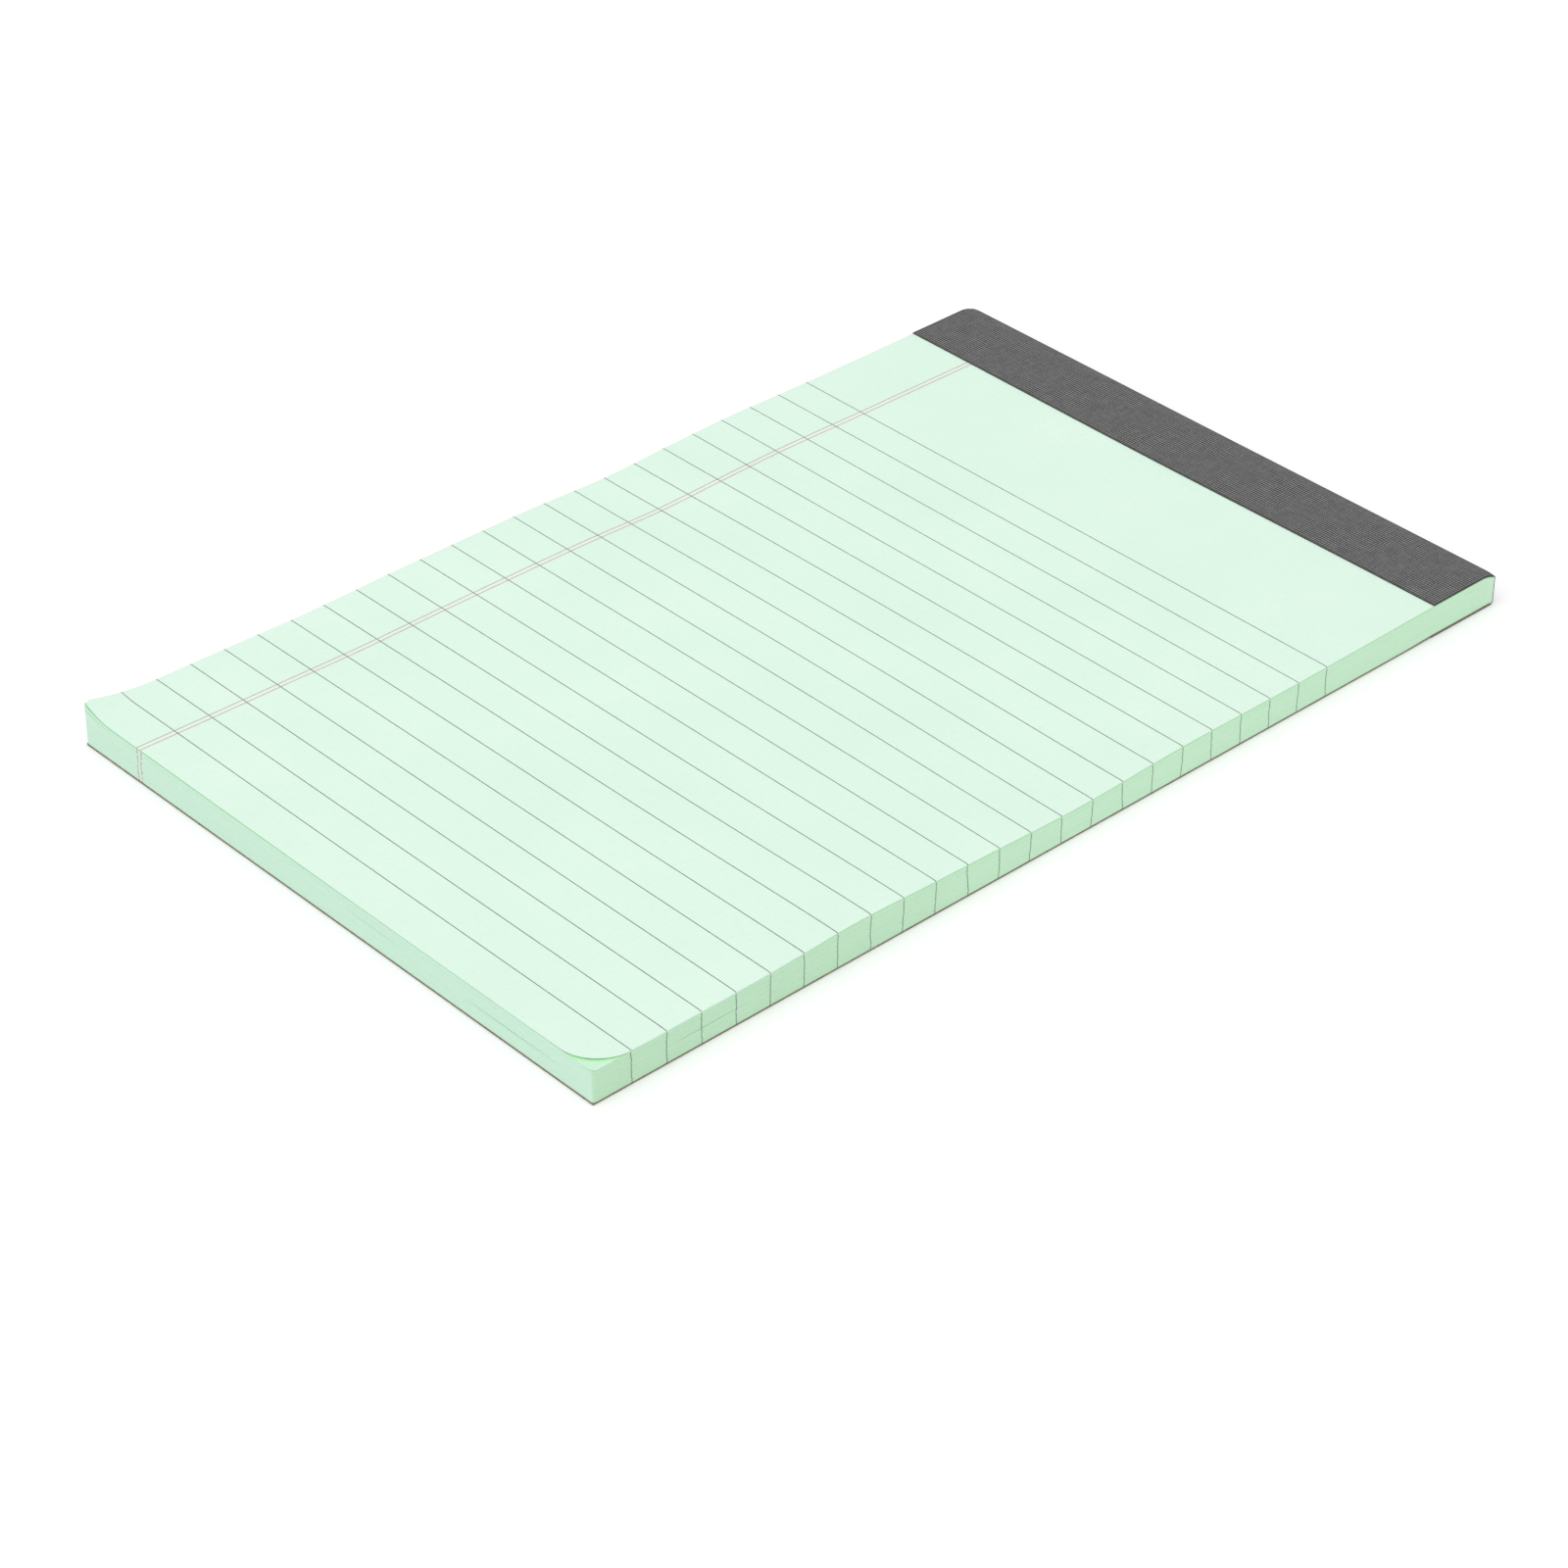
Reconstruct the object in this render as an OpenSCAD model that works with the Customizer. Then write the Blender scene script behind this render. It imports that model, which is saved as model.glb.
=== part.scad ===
// Ruled notepad: a glued block of sheets on a board, its head wrapped in cloth tape.
// Millimetres. The pad lies on its board at z = 0, with the head towards +Y.

/* [Sheets] */
// Width of the sheets
sheet_width = 127; // [100:1:160]
// Length of the sheets
sheet_length = 203; // [170:1:260]
// Number of sheets in the block
sheet_count = 50; // [30:1:80]
// One sheet with the air over it
sheet_thickness = 0.121; // [0.1:0.001:0.14]

/* [Board and binding] */
// Thickness of the backing board
board_thickness = 0.35; // [0.3:0.05:1]
// Length of the ramp that lifts the board on to the tape at the back
board_ramp = 6; // [4:0.5:10]
// Thickness of the glue film over the head
glue_thickness = 0.35; // [0.25:0.05:0.5]
// Thickness of the tape
tape_thickness = 0.2; // [0.15:0.01:0.3]
// Reach of the tape over the top sheet
tape_front = 15.5; // [10:0.5:22]
// Reach of the tape over the back
tape_back = 15.5; // [10:0.5:22]

/* [Print] */
// Distance between ruled lines
line_pitch = 6.95; // [6:0.05:9]
// Distance from the foot to the first ruled line
first_line_gap = 7.5; // [6:0.5:12]
// Least bare height between the last ruled line and the tape
header_least = 22; // [16:1:30]
// Width of every printed line
line_width = 0.3; // [0.2:0.05:0.5]
// Distance from the left edge to the first margin line
margin_left = 14.5; // [10:0.5:25]
// Distance between the two margin lines
margin_gap = 0.95; // [0.8:0.05:2]
// Thickness of the printed film
ink = 0.03; // [0.02:0.01:0.05]

/* [Wave and curl] */
// Height of the tallest swell in the top
wave = 0.65; // [0:0.05:1]
// Drop of the top at the head, where the tape pulls it round
head_drop = 0.5; // [0:0.05:0.8]
// Length of that drop
head_reach = 3; // [2:0.5:5]
// Further drop at the two ends of the head
head_corner_drop = 0.25; // [0:0.05:0.8]
// Width of that further drop
head_corner_width = 2; // [1:0.5:4]
// Lift of the loose leaf at the left foot corner
curl_left = 2; // [0:0.1:4]
// Lift of the loose leaf at the right foot corner
curl_right = 0.4; // [0:0.1:4]
// Width of the left curl along the foot
curl_left_width = 8; // [5:1:20]
// Length of the left curl along the side
curl_left_length = 14; // [8:1:30]
// Width of the right curl along the foot
curl_right_width = 11; // [6:1:20]
// Length of the right curl along the side
curl_right_length = 11; // [6:1:20]
// Radius of the loose leaf's left foot corner
corner_left = 1.5; // [1:0.5:4]
// Radius of the loose leaf's right foot corner
corner_right = 7; // [1:0.5:8]
// Share of the left curl that the sheets under the leaf follow
fan_left = 0.75; // [0:0.05:0.9]
// Sheets that lift together
leaf_sheets = 2; // [2:1:4]
// Opening under the loose leaf along the rest of the foot
mouth_gap = 0.06; // [0.05:0.01:0.15]
// Depth of that opening
mouth_depth = 5; // [3:0.5:8]

/* [Hidden] */

// Each swell: place across and along, then its height, then its spread across and along.
// Places and spreads are shares of the sheet's width and length, heights are shares of the tallest.
swells = [
    [0.5, 0.265, 1, 0.24, 0.065],
    [0.5, 0.5, -1.3, 0.28, 0.09],
    [0.5, 0.74, -0.46, 0.26, 0.1],
    [-0.5, 0.225, -0.54, 0.24, 0.07],
    [-0.5, 0.55, -0.92, 0.24, 0.06],
    [-0.5, 0.7, 0.46, 0.24, 0.06],
    [-0.5, 0, 0.54, 0.33, 0.075],
    [-0.05, 0.92, -0.46, 0.3, 0.06]
];
// A round corner ends before the first ruled line.
plain_foot = first_line_gap - line_width / 2;
round_left = min(corner_left, plain_foot - line_width);
round_right = min(corner_right, plain_foot - line_width);
// Each curl: side of the corner, lift, width, length and radius of the corner.
curls = [
    [-1, curl_left, curl_left_width, curl_left_length, round_left],
    [1, curl_right, curl_right_width, curl_right_length, round_right]
];
slit_steps = 5;

half_width = sheet_width / 2;
block_height = sheet_count * sheet_thickness;
leaf_thickness = leaf_sheets * sheet_thickness;
flat_top = board_thickness + block_height;
overall_length = ink + sheet_length + glue_thickness + tape_thickness;
foot_y = ink - overall_length / 2;
tape_edge = sheet_length - tape_front;
back_edge = sheet_length - tape_back;
line_count = 1 + floor((tape_edge - header_least - first_line_gap) / line_pitch);
last_line = first_line_gap + (line_count - 1) * line_pitch;
margin_x = [
    -half_width + margin_left - line_width / 2,
    -half_width + margin_left + line_width / 2,
    -half_width + margin_left + margin_gap - line_width / 2,
    -half_width + margin_left + margin_gap + line_width / 2
];

// Stations across the sheet, closer together at the two foot corners, where they round the leaf.
left_x = concat(
    [for (a = [0, 30, 60, 90]) -half_width + round_left * (1 - cos(a))],
    [for (u = [0.2, 0.38, 0.56]) -half_width + u * (margin_left - line_width / 2)]);
right_x = concat(
    [for (u = [0.15, 0.3, 0.45, 0.6, 0.74, 0.84, 0.91]) margin_x[3] + u * (half_width - margin_x[3])],
    [for (a = [90:-18:0]) half_width - round_right * (1 - cos(a))]);
across = concat(left_x, margin_x, right_x);
first_margin = len(left_x);

// Stations along the sheet, counted from the foot, with one at each edge of each ruled line.
line_at = [for (k = [0:line_count - 1]) first_line_gap + k * line_pitch];
foot_d = [for (u = [0, 0.25, 0.5, 0.75]) u * first_line_gap];
ruled_d = [for (d = line_at) each [d - line_width / 2, d + line_width / 2]];
header_d = [for (u = [0.25, 0.5, 0.75]) last_line + u * (tape_edge - last_line)];
open_d = concat(foot_d, ruled_d, header_d, [tape_edge]);
tape_d = concat(
    [for (u = [0, 0.35, 0.7]) tape_edge + u * (tape_front - head_reach)],
    [for (u = [0, 0.35, 0.7, 1]) sheet_length - head_reach + u * head_reach]);
under_tape_d = [for (i = [1:len(tape_d) - 1]) tape_d[i]];
along = concat(open_d, under_tape_d);

function total(list) = list * [for (v = list) 1];
function reverse(list) = [for (i = [len(list) - 1:-1:0]) list[i]];

// Rise of the sheets from the swells, bell shaped both ways.
function swell(x, d) = wave * total([for (s = swells)
    s[2] * exp(-pow((x / sheet_width - s[0]) / s[3], 2) - pow((d / sheet_length - s[1]) / s[4], 2))]);

// How far along the slit under the loose leaf runs at this x.
function slit_depth(x) = max(concat([mouth_depth],
    [for (c = curls) c[3] * (1 - (half_width - c[0] * x) / c[2])]));

// Rise of one corner, which bends about a slanted axis.
function curl(c, x, d) = c[1] * pow(max(0, 1 - (half_width - c[0] * x) / c[2] - d / c[3]), 2);

// Rise of the loose leaf: a narrow mouth along the foot and a curl at each corner.
function lift(x, d) = mouth_gap * max(0, 1 - d / slit_depth(x)) + total([for (c = curls) curl(c, x, d)]);

// How far the loose leaf's foot edge lies back from the foot at this x, where its corners are round.
function nip(x) = max([for (c = curls)
    let (r = c[4], short = max(0, r - half_width + c[0] * x)) r - sqrt(max(0, r * r - short * short))]);

// Place along the leaf: the stations before the first line close up behind a round corner.
function leaf_d(x, d) = d < plain_foot ? nip(x) + d * (1 - nip(x) / plain_foot) : d;

// Fall of the top towards the head, and more so towards its two ends.
function drop(x, d) =
    let (
        to_head = max(0, 1 - (sheet_length - d) / head_reach),
        to_end = max(0, 1 - (half_width - abs(x)) / head_corner_width))
    pow(to_head, 2) * (head_drop + head_corner_drop * pow(to_end, 2));

function top(x, d) = flat_top + swell(x, d) + lift(x, d) - drop(x, d);
function under_leaf(x, d) = flat_top + swell(x, d) - leaf_thickness;
// Top of the sheets under the loose leaf, which fan up at the left corner.
function slit_floor(x, d) = under_leaf(x, d) + fan_left * curl(curls[0], x, d);
function spot(x, d, z) = [x, foot_y + d, z];

// Height of the board's underside: it lies at z = 0 and rises on to the tape at the back.
board_line = [
    [0, 0],
    [back_edge - board_ramp, 0],
    [back_edge, tape_thickness],
    [sheet_length, tape_thickness]
];

// Triangles that fill a ring whose two long sides run beside each other.
function strip_cap(n) = [for (k = [0:n / 2 - 2]) each [[k, k + 1, n - 2 - k], [k, n - 2 - k, n - 1 - k]]];

// Triangles between a lower and an upper row of [index, distance], taken in step from the foot on.
function zip_cap(low, up, i = 0, j = 0) =
    let (low_left = i < len(low) - 1, up_left = j < len(up) - 1)
    !low_left && !up_left ? []
    : low_left && (!up_left || low[i + 1][1] <= up[j + 1][1])
        ? concat([[low[i][0], low[i + 1][0], up[j][0]]], zip_cap(low, up, i + 1, j))
        : concat([[low[i][0], up[j + 1][0], up[j][0]]], zip_cap(low, up, i, j + 1));

// Skin through a row of equal rings, closed by a cap of triangles at each end.
// Every quad is cut on the same slant, so that skins on shared stations meet face to face.
module loft(rings, start, finish) {
    n = len(rings[0]);
    last = len(rings) - 1;
    sides = [for (i = [0:last - 1], j = [0:n - 1])
        let (a = i * n + j, b = i * n + (j + 1) % n, c = b + n, e = a + n)
        each rings[i][j][1] <= rings[i][(j + 1) % n][1]
            ? [[a, c, b], [a, e, c]]
            : [[a, e, b], [b, e, c]]];
    far = [for (t = finish) [for (k = reverse(t)) last * n + k]];
    polyhedron([for (ring = rings) each ring], concat(sides, start, far));
}

module strip_loft(rings) {
    cap = strip_cap(len(rings[0]));
    loft(rings, cap, cap);
}

// The sheets: flat below, wavy above, with a slit under the loose leaf at the foot.
module page_block() {
    under = concat(
        [for (k = [0:6]) [k / 6 * (back_edge - board_ramp), 0]],
        [board_line[2], board_line[3]]);
    a = len(under);
    b = len(along);
    function roof_d(x, i) = nip(x) + (slit_depth(x) - nip(x)) * i / slit_steps;
    function ring(x) = concat(
        [for (p = under) spot(x, p[0], p[1] + board_thickness)],
        [for (s = reverse(along)) let (d = leaf_d(x, s)) spot(x, d, top(x, d))],
        [for (i = [0:slit_steps - 1]) let (d = roof_d(x, i))
            spot(x, d, under_leaf(x, d) + lift(x, d))],
        [for (i = [slit_steps:-1:0]) let (d = slit_depth(x) * i / slit_steps)
            spot(x, d, slit_floor(x, d))]);
    function cap(x) =
        let (
            depth = slit_depth(x),
            bottom_row = [for (i = [0:a - 1]) [i, under[i][0]]],
            top_row = [for (i = [0:b - 1]) [a + b - 1 - i, leaf_d(x, along[i])]],
            roof_row = [for (i = [0:slit_steps]) [a + b + i, roof_d(x, i)]],
            floor_row = [for (i = [0:slit_steps]) [a + b + 2 * slit_steps - i, depth * i / slit_steps]],
            past = [for (t = top_row) if (t[1] >= depth) t],
            leaf_row = [for (t = top_row) if (t[1] < depth) t])
        concat(
            zip_cap(roof_row, concat(leaf_row, [past[0]])),
            zip_cap(bottom_row, concat(floor_row, past)));
    color([0.87, 0.97, 0.9])
        loft([for (x = across) ring(x)], cap(-half_width), cap(half_width));
}

module backing_board() {
    outline = concat(
        [for (b = board_line) [foot_y + b[0], b[1]]],
        [for (b = reverse(board_line)) [foot_y + b[0], b[1] + board_thickness]]);
    color([0.6, 0.56, 0.5])
        rotate([90, 0, 90])
        linear_extrude(sheet_width, center = true)
        polygon(outline);
}

// Outside of the glue film from the back of the board up to the top sheet, rounded at both ends.
function glue_face(x) =
    let (low = tape_thickness, high = top(x, sheet_length), r = glue_thickness)
    concat(
        [for (a = [-90:22.5:0]) spot(x, sheet_length + r * cos(a), low + r + r * sin(a))],
        [for (a = [0:22.5:90]) spot(x, sheet_length + r * cos(a), high - r + r * sin(a))]);

module head_glue() {
    color([0.92, 0.9, 0.82]) strip_loft([for (x = across) glue_face(x)]);
}

// The tape runs under the board, round the glue and over the top sheet.
module binding_tape() {
    function wrap(x) =
        let (low = tape_thickness, high = top(x, sheet_length), r = glue_thickness + tape_thickness)
        concat(
            [spot(x, back_edge, 0)],
            [for (a = [-90:22.5:0]) spot(x, sheet_length + r * cos(a), r + r * sin(a))],
            [for (a = [0:22.5:90]) spot(x, sheet_length + r * cos(a), high + low - r + r * sin(a))],
            [for (i = [len(tape_d) - 2:-1:0]) spot(x, tape_d[i], top(x, tape_d[i]) + tape_thickness)]);
    function inside(x) = concat(
        [for (d = tape_d) if (d < sheet_length) spot(x, d, top(x, d))],
        reverse(glue_face(x)),
        [spot(x, back_edge, tape_thickness)]);
    color([0.41, 0.41, 0.42]) strip_loft([for (x = across) concat(wrap(x), inside(x))]);
}

// One printed film between two stations along the sheet, over a run of stations across it.
module film(stations_x, stations_d) {
    strip_loft([for (x = stations_x) concat(
        [for (d = stations_d) spot(x, d, top(x, d))],
        [for (d = reverse(stations_d)) spot(x, d, top(x, d) + ink)])]);
}

// Film on a side face, where the same line of every sheet shows on the cut edges.
// It joins the film on the top sheet, or stops at the slit under the loose leaf.
module side_mark(side, line) {
    x = side * half_width;
    faces = side < 0 ? [x - ink, x] : [x, x + ink];
    function crest(d) = line < slit_depth(x) ? slit_floor(x, d) : top(x, d) + ink;
    strip_loft([for (d = [line - line_width / 2, line + line_width / 2]) [
        spot(faces[0], d, board_thickness),
        spot(faces[0], d, crest(d)),
        spot(faces[1], d, crest(d)),
        spot(faces[1], d, board_thickness)]]);
}

// Film on the foot face for one margin line, up to the slit.
module foot_mark(stations_x) {
    strip_loft([for (x = stations_x) [
        spot(x, -ink, board_thickness),
        spot(x, 0, board_thickness),
        spot(x, 0, slit_floor(x, 0)),
        spot(x, -ink, slit_floor(x, 0))]]);
}

// The ruled lines stop at the margin lines, which are printed over them.
module ruled_lines() {
    runs = [
        [for (i = [0:first_margin]) across[i]],
        [across[first_margin + 1], across[first_margin + 2]],
        [for (i = [first_margin + 3:len(across) - 1]) across[i]]
    ];
    color([0.5, 0.56, 0.53])
        for (d = line_at) {
            for (run = runs) film(run, [d - line_width / 2, d + line_width / 2]);
            for (side = [-1, 1]) side_mark(side, d);
        }
}

module margin_lines() {
    color([0.7, 0.56, 0.57])
        for (i = [0, 2]) {
            film([margin_x[i], margin_x[i + 1]], open_d);
            foot_mark([margin_x[i], margin_x[i + 1]]);
        }
}

page_block();
backing_board();
head_glue();
binding_tape();
ruled_lines();
margin_lines();
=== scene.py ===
# %% [markdown]
# # A ruled notepad
# This lesson dresses the CAD model of a writing pad: mint sheets glued at the head, a thin board
# under them and a woven tape round the head. The CAD model is loaded first and stays put. Every new
# piece is laid over it with numpy, in millimetres, and turned into metres once, when its mesh is made.

# %% Load the frame
import bpy
import numpy as np
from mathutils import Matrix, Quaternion, Vector


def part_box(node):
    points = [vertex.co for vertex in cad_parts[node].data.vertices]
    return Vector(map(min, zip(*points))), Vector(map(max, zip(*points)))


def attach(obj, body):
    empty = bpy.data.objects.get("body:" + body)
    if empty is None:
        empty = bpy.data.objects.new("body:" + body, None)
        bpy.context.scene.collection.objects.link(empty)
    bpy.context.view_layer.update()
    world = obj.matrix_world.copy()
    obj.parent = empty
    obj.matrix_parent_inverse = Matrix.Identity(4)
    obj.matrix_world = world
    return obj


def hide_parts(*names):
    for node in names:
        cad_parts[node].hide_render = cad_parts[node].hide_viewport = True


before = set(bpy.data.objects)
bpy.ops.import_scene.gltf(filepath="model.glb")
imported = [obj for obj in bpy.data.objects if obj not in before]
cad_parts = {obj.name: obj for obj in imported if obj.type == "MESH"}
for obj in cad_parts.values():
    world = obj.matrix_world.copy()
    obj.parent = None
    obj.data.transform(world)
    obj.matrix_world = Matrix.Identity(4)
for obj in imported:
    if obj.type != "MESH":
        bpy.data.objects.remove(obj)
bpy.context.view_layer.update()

# %% [markdown]
# ## Sizes
# A dressed piece has to sit exactly where its CAD solid sits. So the sizes are read from the boxes
# of the solids, and only what a box can't tell, such as the number of sheets, is written down.
# Lengths along the pad are counted from its foot, because the print and the curls start there.

# %% Read the sizes from the solids
MM = 1000.0


def box_mm(node):
    """Lowest and highest corner of a CAD node in millimetres."""
    low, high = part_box(node)
    return np.array(low) * MM, np.array(high) * MM


block_low, block_high = box_mm("page_block")
tape_low, tape_high = box_mm("binding_tape")
glue_high = box_mm("head_glue")[1]
half_width = block_high[0]
sheet_width = 2 * half_width
foot_y = block_low[1]
sheet_length = block_high[1] - foot_y
tape_edge = tape_low[1] - foot_y
glue_thickness = glue_high[1] - block_high[1]
tape_thickness = tape_high[1] - glue_high[1]
print("sheet", sheet_width, "by", sheet_length, "mm, tape from", tape_edge)

# %% [markdown]
# ## The wavy top
# The sheets have lain in damp air, so the top swells and dips by less than a millimetre, and the
# loose leaf curls up at both foot corners. Sculpting that by hand would not fit the CAD solid.
# The heights are a formula instead, the same one as in the CAD source, so all that lies on the top
# sheet, from the ink to the tape, can ask for the height under it.

# %% Heights of the top sheet
sheet_count = 50
sheet_pitch = 0.121
board_ramp = 6.0
block_floor = block_low[2]
flat_top = block_floor + sheet_count * sheet_pitch
wave = 0.65
# Place across and along, height, spread across and along, as shares
swells = np.array([
    [0.5, 0.265, 1, 0.24, 0.065],
    [0.5, 0.5, -1.3, 0.28, 0.09],
    [0.5, 0.74, -0.46, 0.26, 0.1],
    [-0.5, 0.225, -0.54, 0.24, 0.07],
    [-0.5, 0.55, -0.92, 0.24, 0.06],
    [-0.5, 0.7, 0.46, 0.24, 0.06],
    [-0.5, 0, 0.54, 0.33, 0.075],
    [-0.05, 0.92, -0.46, 0.3, 0.06],
])
head_drop = 0.5
head_reach = 3.0
head_corner_drop = 0.25
head_corner_width = 2.0
edge_drop = 0.1
edge_reach = 0.35
bare_reach = 10.0


def swell(x, d):
    """Sum of bells: a height times e to the minus squared distance from its middle, in its spreads."""
    across = (np.asarray(x)[..., None] / sheet_width - swells[:, 0]) / swells[:, 3]
    along = (np.asarray(d)[..., None] / sheet_length - swells[:, 1]) / swells[:, 4]
    return wave * (swells[:, 2] * np.exp(-across**2 - along**2)).sum(axis=-1)


def settle(x, d):
    """Falls with squares of the way into the head and its ends, exponentially at the cut sides."""
    inward = half_width - np.abs(x)
    head = np.clip(1 - (sheet_length - d) / head_reach, 0, None) ** 2
    end = np.clip(1 - inward / head_corner_width, 0, None) ** 2
    bare = np.clip((tape_edge - d) / bare_reach, 0, 1)
    at_sides = edge_drop * bare * np.exp(-inward / edge_reach)
    return head * (head_drop + head_corner_drop * end) + at_sides


def block_base(d):
    """Underside of the sheets: level, then a straight ramp where the board climbs on to the tape."""
    return block_floor + tape_thickness * np.clip(1 - (tape_edge - d) / board_ramp, 0, 1)


print("top at the middle", flat_top + swell(0.0, sheet_length / 2), "mm")

# %% [markdown]
# ## The curled corners
# A leaf that has been thumbed bends about a slanted line across its corner. Beyond that line its
# height grows with the square of the distance, as a springy sheet does. The corners of the top
# leaf are also worn round, so its foot edge lies back there and the leaf below peeps out.

# %% Lift of the loose leaves
# Side, lift, width along the foot, length along the side and radius of the corner
curls = np.array([
    [-1, 2, 8, 14, 1.5],
    [1, 0.4, 11, 11, 7],
])
mouth_gap = 0.06
mouth_depth = 5.0


def curl(x, d):
    """Rise of both corners: the square of the way past each one's fold line, times its lift."""
    inward = half_width - curls[:, 0] * np.asarray(x)[..., None]
    past = np.clip(1 - inward / curls[:, 2] - np.asarray(d)[..., None] / curls[:, 3], 0, None)
    return curls[:, 1] * past**2


def mouth(x, d):
    """Narrow opening under the leaf, widest at the foot and closed where the slit ends."""
    inward = half_width - curls[:, 0] * np.asarray(x)[..., None]
    slit = np.maximum(mouth_depth, (curls[:, 3] * (1 - inward / curls[:, 2])).max(axis=-1))
    return mouth_gap * np.clip(1 - d / slit, 0, None)


def round_corners(x, d, rest):
    """Places along the top leaf: those before rest close up behind a circle at each foot corner."""
    inward = half_width - curls[:, 0] * np.asarray(x)[..., None]
    radius = curls[:, 4]
    short = np.clip(radius - inward, 0, None)
    nip = (radius - np.sqrt(np.clip(radius**2 - short**2, 0, None))).max(axis=-1)
    return d + nip * np.clip(1 - d / rest, 0, None)


def top(x, d):
    """Height of the top sheet: the flat height with swells, curls and falls."""
    return flat_top + swell(x, d) + mouth(x, d) + curl(x, d).sum(axis=-1) - settle(x, d)


print("curled tips", top(-half_width, 0.0), top(half_width, 0.0), "mm")

# %% [markdown]
# ## Meshes from grids
# All pieces but the stack of sheets are slabs: an outer grid of points, an inner grid under it and
# a wall round the border. One helper makes the faces of any number of equal slabs, and another puts
# points into a mesh with foreach_set, which is much faster than adding them one by one.

# %% Helpers for slabs
def grid_quads(rows, columns):
    """Faces of a grid in row order: each cell goes round its four points, first along the row."""
    index = np.arange(rows * columns).reshape(rows, columns)
    cell = [index[:-1, :-1], index[:-1, 1:], index[1:, 1:], index[1:, :-1]]
    return np.stack(cell, axis=-1).reshape(-1, 4)


def border(rows, columns):
    """Points round the edge of a grid, in the same turning sense as its cells."""
    index = np.arange(rows * columns).reshape(rows, columns)
    return np.concatenate([index[0, :-1], index[:-1, -1], index[-1, :0:-1], index[:0:-1, 0]])


def wall_quads(lower, upper):
    """Faces between two closed rings: each joins two neighbours below to the two above them."""
    ahead = [np.roll(ring, -1, axis=-1) for ring in (lower, upper)]
    return np.stack([lower, ahead[0], ahead[1], upper], axis=-1).reshape(-1, 4)


def slabs(outer, inner):
    """Closed slabs from stacks of grids shaped slab, row, column, xyz."""
    count, rows, columns = outer.shape[:3]
    size = rows * columns
    ring = border(rows, columns)
    face = grid_quads(rows, columns)
    one = np.concatenate([face, face[:, ::-1] + size, wall_quads(ring + size, ring)])
    starts = 2 * size * np.arange(count)
    quads = (one[None] + starts[:, None, None]).reshape(-1, 4)
    both = np.stack([outer.reshape(count, size, 3), inner.reshape(count, size, 3)], axis=1)
    return both.reshape(-1, 3), quads


def on_pad(x, d, z):
    """Points from places across, along from the foot and up."""
    return np.stack(np.broadcast_arrays(x, np.asarray(d) + foot_y, z), axis=-1)


print("a slab of one cell has", 2 + len(border(2, 2)), "faces")

# %% Helper for pieces
sharp_angle = np.radians(38)


def add_piece(name, shape, finish, node):
    """Puts points in millimetres and their quads into a mesh, and joins the object to the frame."""
    points, quads = shape
    mesh = bpy.data.meshes.new(name)
    mesh.vertices.add(len(points))
    mesh.vertices.foreach_set("co", np.ravel(points / MM).astype(np.float32))
    mesh.loops.add(quads.size)
    mesh.loops.foreach_set("vertex_index", quads.ravel().astype(np.int32))
    mesh.polygons.add(len(quads))
    mesh.polygons.foreach_set("loop_start", np.arange(0, quads.size, 4, dtype=np.int32))
    mesh.update(calc_edges=True)
    mesh.shade_smooth()
    mesh.set_sharp_from_angle(angle=sharp_angle)
    mesh.materials.append(finish)
    piece = bpy.data.objects.new(name, mesh)
    bpy.context.scene.collection.objects.link(piece)
    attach(piece, "root")
    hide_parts(node)
    print(name, "has", len(quads), "quads")
    return piece


print("edges sharper than", np.degrees(sharp_angle), "degrees stay hard")

# %% [markdown]
# ## Finishes
# A finish is a small tree of nodes. The patterns read Object coordinates, which are metres on the
# pad itself, so a scale of 1000 makes a pattern about a millimetre wide, and nothing slides when
# the camera moves.

# %% Helpers for finishes
def tone(red, green, blue):
    """Linear colour from the 0 to 255 values that a screen shows."""
    shown = np.array([red, green, blue]) / 255
    linear = np.where(shown <= 0.04045, shown / 12.92, ((shown + 0.055) / 1.055) ** 2.4)
    return (*linear, 1.0)


def add_node(tree, kind, inputs=None, **options):
    """Adds a node, sets its options, and sets each input or links it to another node's output."""
    made = tree.nodes.new(kind)
    for option, value in options.items():
        setattr(made, option, value)
    for socket, value in (inputs or {}).items():
        if isinstance(value, bpy.types.NodeSocket):
            tree.links.new(value, made.inputs[socket])
        else:
            made.inputs[socket].default_value = value
    return made


def new_finish(name, roughness, specular):
    """A material with a Principled shader; gives the material, its tree and the shader."""
    finish = bpy.data.materials.new(name)
    finish.use_nodes = True
    shader = finish.node_tree.nodes["Principled BSDF"]
    shader.inputs["Roughness"].default_value = roughness
    shader.inputs["Specular IOR Level"].default_value = specular
    return finish, finish.node_tree, shader


def worked(tree, operation, first, second=0.0, third=0.0):
    """What a Math node makes of up to three values."""
    values = {0: first, 1: second, 2: third}
    return add_node(tree, "ShaderNodeMath", values, operation=operation).outputs[0]


def pattern(tree, scale, detail, stretch=(1, 1, 1), place=None):
    """Cloudy noise in patches of about one unit over the scale, on Object coordinates by default."""
    if place is None:
        place = add_node(tree, "ShaderNodeTexCoord").outputs["Object"]
    stretched = add_node(tree, "ShaderNodeMapping", {"Vector": place, "Scale": stretch})
    cloud = add_node(tree, "ShaderNodeTexNoise",
                     {"Vector": stretched.outputs[0], "Scale": scale, "Detail": detail})
    return cloud.outputs[0]


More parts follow.
